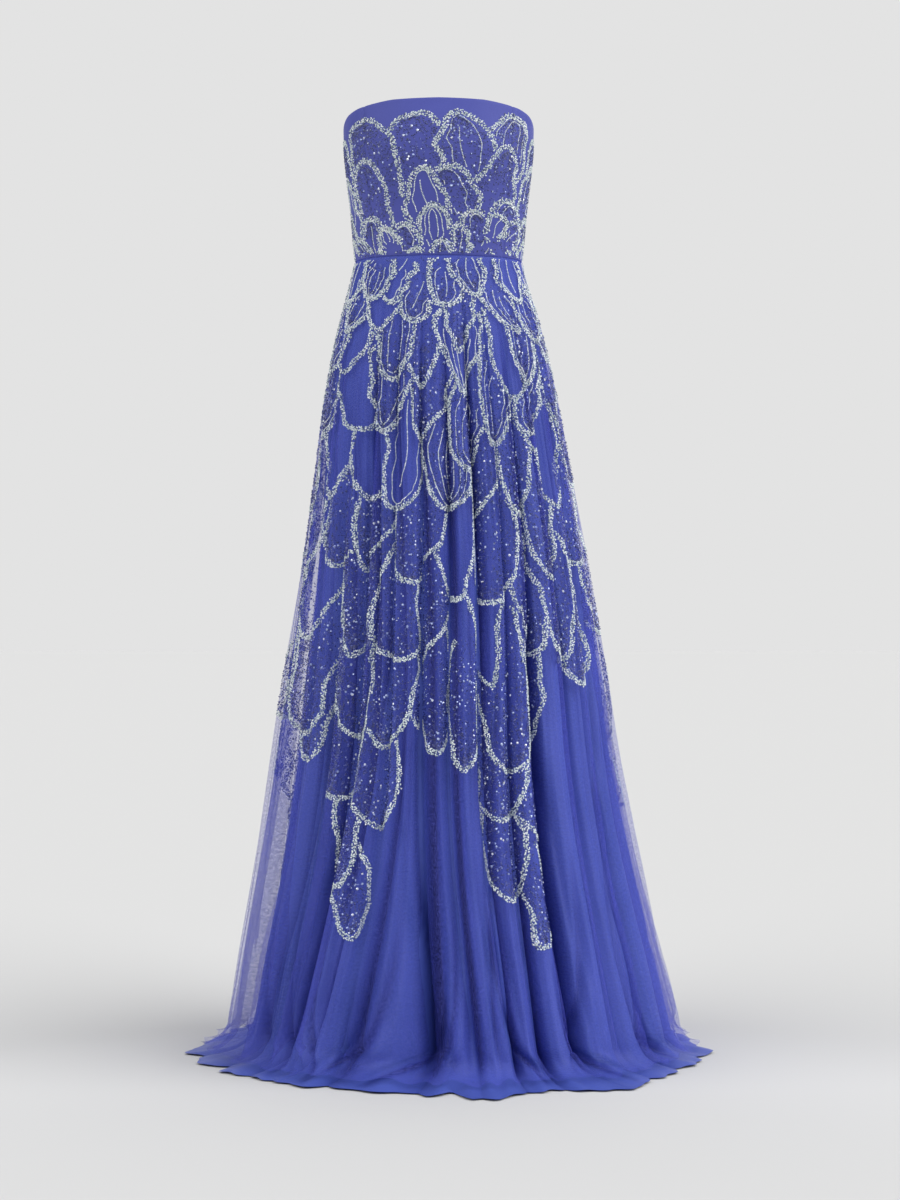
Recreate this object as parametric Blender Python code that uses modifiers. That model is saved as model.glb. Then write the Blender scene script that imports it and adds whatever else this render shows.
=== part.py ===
"""Strapless evening gown as worn, with no wearer: a boned bodice, a sheer overlay skirt and an opaque lining.

Metres, +Z up, +Y towards the back. The origin is the centre of the waist, where the gown is held.
Angles run round the body from the centre front, positive towards +X.
"""

import math

import bmesh
import bpy
import numpy as np
from mathutils import Matrix, Vector

# Driving dimensions
WAIST_ABOVE_FLOOR = 1.175
BODICE_WALL = 0.0025
SKIRT_WALL = 0.0012
SEAM_GAP = 0.0003
CLEAR = 0.0003

# The bodice: height above the waist, and the section's half width, front depth and back depth
BODICE_SECTIONS = (
    (0.000, 0.1242, 0.0925, 0.0885),
    (0.027, 0.1269, 0.0965, 0.0895),
    (0.072, 0.1306, 0.1060, 0.0925),
    (0.117, 0.1359, 0.1160, 0.0960),
    (0.161, 0.1403, 0.1215, 0.0985),
    (0.191, 0.1418, 0.1200, 0.0990),
    (0.227, 0.1420, 0.1150, 0.0985),
)
# The neckline: angle from the centre front in degrees, and height above the waist
NECKLINE = (
    (0, 0.2250),
    (28, 0.2235),
    (54, 0.2165),
    (68, 0.2105),
    (88, 0.1975),
    (120, 0.1830),
    (150, 0.1720),
    (180, 0.1680),
)
SQUARENESS = 2.2  # the torso section's superellipse power; 2 is an ellipse
CUP_ANGLE = 31.0
CUP_HEIGHT = 0.150
CUP_FULLNESS = 0.006
CUP_SPREAD_DEG = 19.0
CUP_SPREAD = 0.036
# Bodice panels: name, first and last angle in degrees, and the columns between them
BODICE_PANELS = (
    ("bodice_front", -48, 48, 14),
    ("bodice_side_left", 48, 112, 8),
    ("bodice_side_right", -112, -48, 8),
    ("bodice_back_left", 112, 180, 8),
    ("bodice_back_right", -180, -112, 8),
)
BODICE_RINGS = 8

# The overlay's sections over its ridges, from the waist to the hem: height above the floor, half width,
# front depth, back depth, and the sideways sway of the section's centre
OVERLAY_SECTIONS = (
    (1.1747, 0.1245, 0.0928, 0.0888, 0.000),
    (1.1400, 0.1328, 0.0995, 0.0985, 0.000),
    (1.0900, 0.1468, 0.1110, 0.1150, 0.001),
    (1.0200, 0.1630, 0.1245, 0.1330, 0.002),
    (0.9400, 0.1775, 0.1385, 0.1500, 0.004),
    (0.8400, 0.1935, 0.1570, 0.1720, 0.007),
    (0.7000, 0.2165, 0.1850, 0.2020, 0.010),
    (0.5600, 0.2400, 0.2130, 0.2320, 0.0105),
    (0.4200, 0.2620, 0.2420, 0.2640, 0.011),
    (0.2800, 0.2875, 0.2720, 0.2990, 0.014),
    (0.1500, 0.3160, 0.3000, 0.3340, 0.019),
    (0.0620, 0.3345, 0.3160, 0.3600, 0.023),
    (0.0360, 0.3395, 0.3200, 0.3700, 0.023),
    (0.0175, 0.3520, 0.3310, 0.3880, 0.021),
    (0.0085, 0.3640, 0.3430, 0.4030, 0.019),
)
# The lining's sections: height above the floor, how far it lies inside the overlay's section of the same row,
# and its own sway beside the overlay's. Its last rows spread further over the floor than the overlay.
LINING_SECTIONS = (
    (1.1747, 0.0018, 0.000),
    (1.1395, 0.0032, 0.000),
    (1.0890, 0.0048, 0.000),
    (1.0190, 0.0070, 0.000),
    (0.9390, 0.0100, 0.000),
    (0.8390, 0.0150, 0.003),
    (0.6990, 0.0200, 0.008),
    (0.5590, 0.0260, 0.012),
    (0.4190, 0.0290, 0.013),
    (0.2790, 0.0290, 0.013),
    (0.1480, 0.0280, 0.012),
    (0.0560, 0.0270, 0.010),
    (0.0260, 0.0220, 0.008),
    (0.0080, 0.0120, 0.004),
    (0.0014, -0.0110, 0.000),
)
LINING_FOLD_SHARE = 0.85
# How far the lining's hem reaches past its last section, over the floor: angle in degrees, and mm
HEM_REACH = (
    (-180, -6),
    (-166, 16),
    (-152, -10),
    (-140, 12),
    (-128, -12),
    (-113, 8),
    (-103, -9),
    (-90, 14),
    (-69, 6),
    (-57, 4),
    (-43, -4),
    (-33, 3),
    (-23, -2),
    (-12, 0),
    (-5, 22),
    (0, -12),
    (4, 42),
    (9, 36),
    (15, 12),
    (22, 2),
    (30, 24),
    (36, 46),
    (46, 12),
    (60, 4),
    (73, 0),
    (87, 11),
    (101, -8),
    (112, 12),
    (124, -12),
    (137, 6),
    (149, 18),
    (161, -8),
    (172, 10),
    (180, -6),
)
OVERLAY_REACH_SHARE = 0.35

# The skirt's folds, as valleys between soft ridges, in order round the body.
# Angle in degrees at thigh, knee, ankle and floor, then depth in mm at the same four heights
FOLDS = (
    (-171, -171, -172, -172, 6, 12, 15, 8),
    (-157, -155, -158, -157, 10, 20, 26, 9),
    (-141, -143, -140, -141, 12, 25, 30, 9),
    (-127, -125, -128, -127, 9, 17, 21, 7),
    (-111, -112, -110, -111, 12, 24, 30, 9),
    (-96, -94, -97, -96, 7, 15, 19, 7),
    (-81, -78, -81, -80, 7, 15, 21, 7),
    (-65, -59, -66, -64, 10, 23, 29, 9),
    (-49, -44, -53, -51, 12, 20, 24, 8),
    (-34, -32, -42, -40, 11, 19, 22, 7),
    (-22, -20, -31, -29, 15, 30, 36, 10),
    (-10, -9, -6, -7, 26, 38, 38, 11),
    (3, 1, 5, 6, 14, 21, 29, 9),
    (14, 11, 14, 16, 20, 34, 37, 10),
    (25, 21, 22, 25, 11, 19, 25, 8),
    (37, 32, 32, 36, 13, 28, 34, 10),
    (50, 46, 45, 48, 10, 18, 22, 7),
    (64, 60, 60, 62, 9, 17, 21, 7),
    (79, 76, 76, 77, 7, 14, 18, 7),
    (95, 93, 95, 94, 8, 17, 22, 8),
    (110, 111, 108, 110, 11, 23, 28, 9),
    (125, 124, 127, 126, 8, 15, 19, 7),
    (140, 142, 139, 140, 12, 24, 30, 9),
    (156, 154, 157, 156, 10, 19, 25, 8),
    (171, 171, 172, 172, 6, 12, 15, 8),
)
FOLD_STATIONS = (2, 5, 8, 11, 14)  # the section rows that the columns above stand for; the first is the high hip
HIP_SHARE = 0.10  # a fold's depth at the high hip, as a share of that at the thigh
FOLD_SHARPNESS = 3.0
HEM_LIFT = 0.005  # how far the ridges rise off the floor at the hem
PHASES_OVERLAY = (0.0, 0.20, 0.50, 0.80)
PHASES_LINING = (0.0, 0.20, 0.50, 0.80)
# Skirt panels: name, and the numbers of the valleys just before the first seam and just before the last seam
SKIRT_PANELS = (("front", 5, 18), ("back_left", 18, 24), ("back_right", -1, 5))

# The centre-back zip
ZIP_BELOW_WAIST = 0.215
ZIP_TOP_INSET = 0.003
ZIP_OPENING = 0.0018  # from the centre line to each panel's edge
ZIP_NARROWS_ROW, ZIP_CLOSED_ROW = 3, 4  # the section rows between which that opening closes to a seam
CHAIN_CLEAR = 0.0004
TAPE_HALF_WIDTH = 0.009
TAPE_THICKNESS = 0.0008
TAPE_CLEAR = 0.0006
TAPE_COVER_DEG = 6.0  # the angle from the centre back that each tape lies under in the bodice
TAPE_COVER_FOLDS = 0.42  # and in the skirt, in folds
CHAIN_SET_BACK = 0.0004
ZIP_RINGS_BODICE = 8
ZIP_RINGS_SKIRT = 9
SLIDER_DROP = 0.013  # from the back neckline to the slider's middle
SLIDER_SIZE = (0.0075, 0.0014, 0.0095)
BRIDGE_RADIUS = 0.0019
BRIDGE_WIRE = 0.0005
PIVOT_STAND_OFF = 0.0010  # from the slider's face to the pull's axis
PULL_LENGTH = 0.022
PULL_HALF_THICKNESS = 0.00045
PULL_TOP_HALF_WIDTH = 0.0019
PULL_END_HALF_WIDTH = 0.0028
EYE_HALF_WIDTH = 0.00085
EYE_LENGTH = 0.0031

# Colours are linear RGB
BODICE_BLUE = (0.105, 0.120, 0.400, 1.0)
OVERLAY_BLUE = (0.090, 0.110, 0.380, 1.0)
LINING_BLUE = (0.060, 0.080, 0.330, 1.0)
ZIP_BLUE = (0.060, 0.075, 0.300, 1.0)
ZIP_METAL = (0.120, 0.130, 0.320, 1.0)


def clear_scene():
    for obj in list(bpy.data.objects):
        bpy.data.objects.remove(obj, do_unlink=True)


def new_collection(name):
    collection = bpy.data.collections.new(name)
    bpy.context.scene.collection.children.link(collection)
    return collection


def material(name, colour, roughness, metallic=0.0):
    made = bpy.data.materials.new(name)
    made.use_nodes = True
    shader = made.node_tree.nodes["Principled BSDF"]
    shader.inputs["Base Color"].default_value = colour
    shader.inputs["Roughness"].default_value = roughness
    shader.inputs["Metallic"].default_value = metallic
    return made


def along_rows(table, t):
    """Each column of a table at the row numbers t, on a smooth curve through the rows."""
    rows = np.asarray(table, float)
    last = len(rows) - 1
    start = np.clip(np.floor(t).astype(int), 0, last - 1)
    f = (t - start)[..., None]
    before, here, there, after = (rows[np.clip(start + k, 0, last)] for k in (-1, 0, 1, 2))
    rise, fall = (there - before) / 2, (after - here) / 2
    curve = 2 * (here - there) + rise + fall
    return here + f * (rise + f * (3 * (there - here) - 2 * rise - fall + f * curve))


def section_point(angle, half_width, front, back, power):
    """A point of a body section with its own front and back depth, at angles in radians."""
    s, c = np.sin(angle), np.cos(angle)
    depth = np.where(c > 0, front, back)
    scale = (np.abs(s) ** power + np.abs(c) ** power) ** (-1 / power)
    return half_width * s * scale, -depth * c * scale


def bodice_point(angle_deg, share):
    """A point on the bodice's outer face: share is 0 at the waist and 1 at the neckline."""
    neckline = np.asarray(NECKLINE, float)
    top = np.interp(np.abs(angle_deg), neckline[:, 0], neckline[:, 1])
    height = CLEAR + share * (top - CLEAR)
    rows = np.asarray(BODICE_SECTIONS)
    half_width, front, back = (
        along_rows(rows[:, [k]], np.interp(height, rows[:, 0], np.arange(len(rows))))[..., 0] for k in (1, 2, 3)
    )
    x, y = section_point(np.radians(angle_deg), half_width, front, back, SQUARENESS)
    off_cup = (np.abs(angle_deg) - CUP_ANGLE) / CUP_SPREAD_DEG
    cup = CUP_FULLNESS * np.exp(-(off_cup**2) - ((height - CUP_HEIGHT) / CUP_SPREAD) ** 2)
    return np.stack([x, y - cup, height], axis=-1)


def fold_rows(t):
    """The folds' angles in radians and depths in metres at the row numbers t."""
    table = np.asarray(FOLDS, float)
    angles = np.column_stack([table[:, 0], table[:, :4]])
    depths = np.column_stack([HIP_SHARE * table[:, 4], table[:, 4:]])
    first, last = FOLD_STATIONS[0], FOLD_STATIONS[-1]
    station = (np.clip(t, first, last) - first) / (FOLD_STATIONS[1] - first)
    fade = np.clip(t / first, 0, 1)[..., None]
    return np.radians(along_rows(angles.T, station)), 0.001 * fade * along_rows(depths.T, station)


def fold_at(u, t):
    """The angle, depth and height above the valleys at fold number u, whose whole numbers are valleys."""
    count = len(FOLDS)
    valley = np.floor(u).astype(int)
    phase = u - valley
    angles, depths = fold_rows(t)
    turns = 2 * math.pi * np.floor_divide(np.stack([valley, valley + 1]), count)
    pick = [np.take_along_axis(angles, (v % count)[..., None], axis=-1)[..., 0] for v in (valley, valley + 1)]
    deep = [np.take_along_axis(depths, (v % count)[..., None], axis=-1)[..., 0] for v in (valley, valley + 1)]
    angle = (pick[0] + turns[0]) * (1 - phase) + (pick[1] + turns[1]) * phase
    near = ((1 + np.cos(math.pi * phase)) / 2) ** FOLD_SHARPNESS
    far = ((1 - np.cos(math.pi * phase)) / 2) ** FOLD_SHARPNESS
    return angle, deep[0] * near + deep[1] * far, 1 - near - far


def skirt_point(layer, u, t):
    """A point on the outer face of the overlay or the lining, at fold number u and row number t."""
    u, t = np.broadcast_arrays(np.asarray(u, float), np.asarray(t, float))
    rows = along_rows(OVERLAY_SECTIONS, t)
    height, half_width, front, back, sway = np.moveaxis(rows, -1, 0)
    angle, depth, ridge = fold_at(u, t)
    if layer == "lining":
        height, inset, own_sway = np.moveaxis(along_rows(LINING_SECTIONS, t), -1, 0)
        half_width, front, back = half_width - inset, front - inset, back - inset
        sway = sway + own_sway
        depth = depth * LINING_FOLD_SHARE
    hem = np.clip((t - FOLD_STATIONS[-2]) / (FOLD_STATIONS[-1] - FOLD_STATIONS[-2]), 0, 1) ** 2
    reach = np.asarray(HEM_REACH, float)
    turned = (np.degrees(angle) + 180) % 360 - 180
    share = 1 if layer == "lining" else OVERLAY_REACH_SHARE
    out = 0.001 * share * hem**2 * np.interp(turned, reach[:, 0], reach[:, 1]) - depth
    x, y = section_point(angle, half_width + out, front + out, back + out, 2)
    return np.stack([x + sway, y, height + HEM_LIFT * hem * ridge - WAIST_ABOVE_FLOOR], axis=-1)


def outward_normals(point_at, a, b):
    """Unit normals of a surface given by point_at(a, b), from small steps each way."""
    step = 1e-3
    across = point_at(a + step, b) - point_at(a - step, b)
    down = point_at(a, b + step) - point_at(a, b - step)
    normal = np.cross(across, down)
    normal /= np.linalg.norm(normal, axis=-1, keepdims=True)
    outward = np.sign((normal * point_at(a, b))[..., :2].sum(axis=-1).mean())
    return normal * outward


def edge_shift(points, first_gap, last_gap):
    """The points with the first and last column moved in along the cloth, to leave each seam open."""
    moved = points.copy()
    for end, inner, gap in ((0, 1, first_gap), (-1, -2, last_gap)):
        along = points[:, inner] - points[:, end]
        moved[:, end] += along / np.linalg.norm(along, axis=-1, keepdims=True) * gap[:, None]
    return moved


def mesh_object(name, build, collection, finish):
    """A new object from a function that fills a bmesh."""
    mesh = bpy.data.meshes.new(name)
    bm = bmesh.new()
    build(bm)
    bmesh.ops.recalc_face_normals(bm, faces=bm.faces)
    bm.to_mesh(mesh)
    bm.free()
    mesh.materials.append(finish)
    obj = bpy.data.objects.new(name, mesh)
    collection.objects.link(obj)
    return obj


def loft_wall(name, outer, inner, collection, finish):
    """A closed wall between two grids of points, each with rows down and columns across."""

    def build(bm):
        faces = [[[bm.verts.new(p) for p in row] for row in grid] for grid in (outer, inner)]
        down, across = outer.shape[0], outer.shape[1]
        for grid in faces:
            for r in range(down - 1):
                for c in range(across - 1):
                    bm.faces.new((grid[r][c], grid[r][c + 1], grid[r + 1][c + 1], grid[r + 1][c]))
        rim = [(0, c) for c in range(across)]
        rim += [(r, across - 1) for r in range(1, down)]
        rim += [(down - 1, c) for c in range(across - 2, -1, -1)]
        rim += [(r, 0) for r in range(down - 2, 0, -1)]
        for (r, c), (s, d) in zip(rim, rim[1:] + rim[:1]):
            bm.faces.new((faces[0][r][c], faces[1][r][c], faces[1][s][d], faces[0][s][d]))

    obj = mesh_object(name, build, collection, finish)
    obj.data.shade_smooth()
    obj.data.set_sharp_from_angle(angle=math.radians(60))
    return obj


def bodice_panel(name, first, last, columns, collection, finish):
    angles, shares = np.meshgrid(np.linspace(first, last, columns + 1), np.linspace(0, 1, BODICE_RINGS))
    outer = bodice_point(angles, shares)
    inner = outer - BODICE_WALL * outward_normals(bodice_point, angles, shares)
    inner[..., 2] = outer[..., 2]
    gaps = [ZIP_OPENING if abs(end) == 180 else SEAM_GAP / 2 for end in (first, last)]
    gaps = [np.full(BODICE_RINGS, gap) for gap in gaps]
    return loft_wall(name, edge_shift(outer, *gaps), edge_shift(inner, *gaps), collection, finish)


def zip_gap(heights):
    """How far a skirt panel's edge stays from the centre back: open beside the zip, a seam below it."""
    closed, narrows = (OVERLAY_SECTIONS[r][0] - WAIST_ABOVE_FLOOR for r in (ZIP_CLOSED_ROW, ZIP_NARROWS_ROW))
    return np.interp(heights, (closed, narrows), (SEAM_GAP / 2, ZIP_OPENING))


def skirt_panel(layer, part, before_first, before_last, phases, collection, finish):
    """A panel of one skirt layer between two seams, which lie on ridges."""
    columns = [before_first + 0.5]
    columns += [k + p for k in range(before_first, before_last + 1) for p in phases]
    columns = [u for u in columns if before_first + 0.5 <= u <= before_last + 0.5]
    columns = sorted({round(u, 4) for u in columns + [before_last + 0.5]})
    rows = np.arange(len(OVERLAY_SECTIONS), dtype=float)
    u, t = np.meshgrid(np.array(columns), rows)

    def at(a, b):
        return skirt_point(layer, a, b)

    outer = at(u, t)
    inner = outer - SKIRT_WALL * outward_normals(at, u, t)
    inner[0, :, 2] = outer[0, :, 2]
    gaps = []
    for end in (before_first, before_last):
        centre_back = end in (-1, len(FOLDS) - 1)
        heights = outer[:, 0, 2]
        gaps.append(zip_gap(heights) if centre_back else np.full(len(rows), SEAM_GAP / 2))
    return loft_wall(f"{layer}_{part}", edge_shift(outer, *gaps), edge_shift(inner, *gaps), collection, finish)


def centre_back_lines():
    """The centre back down the zip: x and y on the outer face, the innermost y over the tapes' width, and z."""
    neck = NECKLINE[-1][1] - ZIP_TOP_INSET
    shares = np.linspace(neck / NECKLINE[-1][1], 0, ZIP_RINGS_BODICE)
    over_tape = 180.0 - np.linspace(0, TAPE_COVER_DEG, 5)
    bodice = bodice_point(*np.meshgrid(over_tape, shares))
    lines = [(0.0, row[0, 1], row[:, 1].min() - BODICE_WALL, row[0, 2]) for row in bodice]
    rows = np.linspace(0, 4.0, 81)
    back = len(FOLDS) - 0.5
    overlay = skirt_point("overlay", np.full(81, back), rows)
    columns, rows = np.meshgrid(back + np.linspace(0, TAPE_COVER_FOLDS, 5), rows)
    lining = skirt_point("lining", columns, rows)
    for z in np.linspace(-0.012, -ZIP_BELOW_WAIST, ZIP_RINGS_SKIRT):
        middle, outer = (np.interp(-z, -overlay[:, 2], overlay[:, k]) for k in (0, 1))
        inner = min(np.interp(-z, -line[:, 2], line[:, 1]) for line in np.moveaxis(lining, 1, 0))
        lines.append((middle, outer, inner - SKIRT_WALL, z))
    return lines


def zip_strip(collection, finish):
    """The closed zip: two tapes behind the panels and the chain that fills the slit between them, in one strip."""

    def build(bm):
        rings = []
        for middle, outer, inner, z in centre_back_lines():
            face = outer - CHAIN_SET_BACK
            tape = inner - TAPE_CLEAR
            chain = zip_gap(z) - CHAIN_CLEAR
            section = (
                (-TAPE_HALF_WIDTH, tape - TAPE_THICKNESS),
                (TAPE_HALF_WIDTH, tape - TAPE_THICKNESS),
                (TAPE_HALF_WIDTH, tape),
                (chain, tape),
                (chain, face),
                (-chain, face),
                (-chain, tape),
                (-TAPE_HALF_WIDTH, tape),
            )
            rings.append([bm.verts.new((middle + x, y, z)) for x, y in section])
        count = len(rings[0])
        for upper, lower in zip(rings, rings[1:]):
            for k in range(count):
                n = (k + 1) % count
                bm.faces.new((upper[k], upper[n], lower[n], lower[k]))
        for ring in (rings[0], rings[-1]):
            bm.faces.new((ring[0], ring[1], ring[2], ring[3], ring[6], ring[7]))
            bm.faces.new((ring[3], ring[4], ring[5], ring[6]))

    return mesh_object("back_zip", build, collection, finish)


def mesh_from_curve(curve_object):
    """The curve as a welded mesh object in its place; the curve is removed."""
    graph = bpy.context.evaluated_depsgraph_get()
    mesh = bpy.data.meshes.new_from_object(curve_object.evaluated_get(graph))
    bm = bmesh.new()
    bm.from_mesh(mesh)
    bmesh.ops.remove_doubles(bm, verts=bm.verts, dist=1e-6)
    bm.to_mesh(mesh)
    bm.free()
    made = bpy.data.objects.new(curve_object.name + "_mesh", mesh)
    made.matrix_world = curve_object.matrix_world.copy()
    bpy.data.objects.remove(curve_object, do_unlink=True)
    return made


def slider_face():
    """The middle of the slider's outer face."""
    z = NECKLINE[-1][1] - SLIDER_DROP
    top_share = (z + SLIDER_SIZE[2] / 2) / NECKLINE[-1][1]
    seat = bodice_point(np.array([180.0]), np.array([top_share]))[0, 1]
    return Vector((0, seat + CLEAR + SLIDER_SIZE[1], z))


def zip_slider(collection, cutters, finish):
    """The slider's plate with the round bridge that the pull hangs from."""
    face = slider_face()
    bm = bmesh.new()
    bmesh.ops.create_cube(bm, size=1.0, matrix=Matrix.Diagonal((*SLIDER_SIZE, 1.0)))
    mesh = bpy.data.meshes.new("zip_slider")
    bm.to_mesh(mesh)
    bm.free()
    mesh.materials.append(finish)
    plate = bpy.data.objects.new("zip_slider", mesh)
    plate.location = face - Vector((0, SLIDER_SIZE[1] / 2, 0))
    collection.objects.link(plate)
    corners = plate.modifiers.new("round_corners", "BEVEL")
    corners.width = 0.0005
    corners.segments = 2

    curve = bpy.data.curves.new("bridge", "CURVE")
    curve.dimensions = "3D"
    curve.bevel_depth = BRIDGE_WIRE
    curve.bevel_resolution = 2
    curve.use_fill_caps = True
    spline = curve.splines.new("POLY")
    below = math.asin(min(1.0, (PIVOT_STAND_OFF + 0.0004) / BRIDGE_RADIUS))
    sweep = np.linspace(-below, math.pi + below, 15)
    spline.points.add(len(sweep) - 1)
    for point, a in zip(spline.points, sweep):
        point.co = (0, BRIDGE_RADIUS * math.sin(a), BRIDGE_RADIUS * math.cos(a), 1)
    bridge = bpy.data.objects.new("bridge", curve)
    bridge.location = face + Vector((0, PIVOT_STAND_OFF, 0))
    collection.objects.link(bridge)
    bpy.context.view_layer.update()
    solid = mesh_from_curve(bridge)
    cutters.objects.link(solid)
    solid.hide_render = True
    solid.display_type = "WIRE"
    join = plate.modifiers.new("bridge", "BOOLEAN")
    join.operation = "UNION"
    join.object = solid
    return plate


def zip_pull(collection, finish):
    """The flat pull tab. Its origin is on the hinge axis, in the crossbar under the slider's bridge."""
    curve = bpy.data.curves.new("zip_pull", "CURVE")
    curve.dimensions = "2D"
    curve.fill_mode = "BOTH"
    curve.extrude = PULL_HALF_THICKNESS
    half = PULL_HALF_THICKNESS
    end = PULL_LENGTH - PULL_END_HALF_WIDTH
    round_end = [
        (PULL_END_HALF_WIDTH * math.cos(a), -end - PULL_END_HALF_WIDTH * math.sin(a))
        for a in np.linspace(0, math.pi, 9)
    ]
    outline = [(PULL_TOP_HALF_WIDTH, half), (PULL_TOP_HALF_WIDTH * 0.8, -EYE_LENGTH - 0.0025)]
    outline += round_end
    outline += [(-x, y) for x, y in reversed(outline[:2])]
    eye = [
        (EYE_HALF_WIDTH, -half),
        (-EYE_HALF_WIDTH, -half),
        (-EYE_HALF_WIDTH, -EYE_LENGTH),
        (EYE_HALF_WIDTH, -EYE_LENGTH),
    ]
    for shape in (outline, eye):
        spline = curve.splines.new("POLY")
        spline.use_cyclic_u = True
        spline.points.add(len(shape) - 1)
        for point, (x, z) in zip(spline.points, shape):
            point.co = (x, z, 0, 1)
    obj = bpy.data.objects.new("zip_pull", curve)
    obj.rotation_euler = (math.pi / 2, 0, 0)
    obj.location = slider_face() + Vector((0, PIVOT_STAND_OFF, 0))
    curve.materials.append(finish)
    collection.objects.link(obj)
    return obj


def main():
    clear_scene()
    gown = new_collection("strapless_gown")
    cutters = new_collection("cutters")
    bodice_cloth = material("bodice_cloth", BODICE_BLUE, 0.6)
    overlay_cloth = material("overlay_net", OVERLAY_BLUE, 0.7)
    lining_cloth = material("lining_cloth", LINING_BLUE, 0.5)
    zip_cloth = material("zip_tape", ZIP_BLUE, 0.7)
    zip_metal = material("zip_metal", ZIP_METAL, 0.35, 0.8)
    for name, first, last, columns in BODICE_PANELS:
        bodice_panel(name, first, last, columns, gown, bodice_cloth)
    layers = (("overlay", PHASES_OVERLAY, overlay_cloth), ("lining", PHASES_LINING, lining_cloth))
    for layer, phases, cloth in layers:
        for part, before_first, before_last in SKIRT_PANELS:
            skirt_panel(layer, part, before_first, before_last, phases, gown, cloth)
    zip_strip(gown, zip_cloth)
    zip_slider(gown, cutters, zip_metal)
    zip_pull(gown, zip_metal)


main()
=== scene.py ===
"""Looks of the strapless gown: fine cloth, beadwork, zip, light and camera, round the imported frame.

Metres, +Z up, the front faces -Y. The origin is the centre of the waist.
The cloth follows the same sections and folds as the solids, at a finer grain.
"""

import math

import bpy
import numpy as np
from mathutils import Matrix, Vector


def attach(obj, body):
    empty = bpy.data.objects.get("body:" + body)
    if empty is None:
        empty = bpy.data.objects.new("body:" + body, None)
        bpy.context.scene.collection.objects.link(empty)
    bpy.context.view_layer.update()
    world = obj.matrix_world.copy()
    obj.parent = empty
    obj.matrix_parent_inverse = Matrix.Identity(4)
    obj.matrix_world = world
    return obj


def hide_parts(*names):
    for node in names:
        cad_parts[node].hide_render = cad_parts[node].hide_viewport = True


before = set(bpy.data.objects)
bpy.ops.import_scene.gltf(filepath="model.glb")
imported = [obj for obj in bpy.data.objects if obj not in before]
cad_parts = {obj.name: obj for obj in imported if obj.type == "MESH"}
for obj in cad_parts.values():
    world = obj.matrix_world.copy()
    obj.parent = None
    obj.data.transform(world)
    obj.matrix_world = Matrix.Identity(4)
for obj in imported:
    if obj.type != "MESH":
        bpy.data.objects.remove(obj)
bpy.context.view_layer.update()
BODY = "gown"

# Driving dimensions, as in the solids
WAIST_ABOVE_FLOOR = 1.175
BODICE_WALL = 0.0025
CLEAR = 0.0003
ZIP_OPENING = 0.0018
ZIP_NARROWS_ROW, ZIP_CLOSED_ROW = 3, 4
ZIP_BELOW_WAIST = 0.215
ZIP_TOP_INSET = 0.003
ZIP_POINTS = 200
TOOTH_PITCH = 0.0013
TOOTH_RADIUS = 0.0006
TOOTH_CLEAR = 0.0002
TOOTH_SET_BACK = 0.0004
TOOTH_FILLS = 0.85
TOOTH_STAGGER = 0.12
TOOTH_ARC = 5
TURN = 2 * math.pi
MM = 0.001

# The bodice: height above the waist, and the section's half width, front depth and back depth
BODICE_SECTIONS = (
    (0.0, 0.1242, 0.0925, 0.0885), (0.027, 0.1269, 0.0965, 0.0895),
    (0.072, 0.1306, 0.106, 0.0925), (0.117, 0.1359, 0.116, 0.096),
    (0.161, 0.1403, 0.1215, 0.0985), (0.191, 0.1418, 0.12, 0.099),
    (0.227, 0.142, 0.115, 0.0985),
)
# The neckline: angle from the centre front in degrees, and height above the waist
NECKLINE = (
    (0, 0.225), (28, 0.2235), (54, 0.2165), (68, 0.2105),
    (88, 0.1975), (120, 0.183), (150, 0.172), (180, 0.168),
)
SQUARENESS = 2.2
CUP_ANGLE = 31.0
CUP_HEIGHT = 0.150
CUP_FULLNESS = 0.006
CUP_SPREAD_DEG = 19.0
CUP_SPREAD = 0.036
# The bodice's mean radius and height, for its weave and rim
BODICE_RADIUS = 0.125
BODICE_HEIGHT = 0.2
# Bodice panels: name, first and last angle in degrees
BODICE_PANELS = (
    ("bodice_front", -48, 48), ("bodice_side_left", 48, 112), ("bodice_side_right", -112, -48),
    ("bodice_back_left", 112, 180), ("bodice_back_right", -180, -112),
)

# The overlay's sections down to the hem: height above the floor, half width, front depth, back depth, sway
OVERLAY_SECTIONS = (
    (1.1747, 0.1245, 0.0928, 0.0888, 0.0), (1.14, 0.1328, 0.0995, 0.0985, 0.0),
    (1.09, 0.1468, 0.111, 0.115, 0.001), (1.02, 0.163, 0.1245, 0.133, 0.002),
    (0.94, 0.1775, 0.1385, 0.15, 0.004), (0.84, 0.1935, 0.157, 0.172, 0.007),
    (0.7, 0.2165, 0.185, 0.202, 0.01), (0.56, 0.24, 0.213, 0.232, 0.0105),
    (0.42, 0.262, 0.242, 0.264, 0.011), (0.28, 0.2875, 0.272, 0.299, 0.014),
    (0.15, 0.316, 0.3, 0.334, 0.019), (0.062, 0.3345, 0.316, 0.36, 0.023),
    (0.036, 0.3395, 0.32, 0.37, 0.023), (0.0175, 0.352, 0.331, 0.388, 0.021),
    (0.0085, 0.364, 0.343, 0.403, 0.019),
)
# The lining's sections: height above the floor, inset from the overlay's section, and added sway
LINING_SECTIONS = (
    (1.1747, 0.0018, 0.0), (1.1395, 0.0032, 0.0), (1.089, 0.0048, 0.0),
    (1.019, 0.007, 0.0), (0.939, 0.01, 0.0), (0.839, 0.015, 0.003),
    (0.699, 0.02, 0.008), (0.559, 0.026, 0.012), (0.419, 0.029, 0.013),
    (0.279, 0.029, 0.013), (0.148, 0.028, 0.012), (0.056, 0.027, 0.01),
    (0.026, 0.022, 0.008), (0.008, 0.012, 0.004), (0.0014, -0.011, 0.0),
)
LINING_FOLD_SHARE = 0.85
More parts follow.
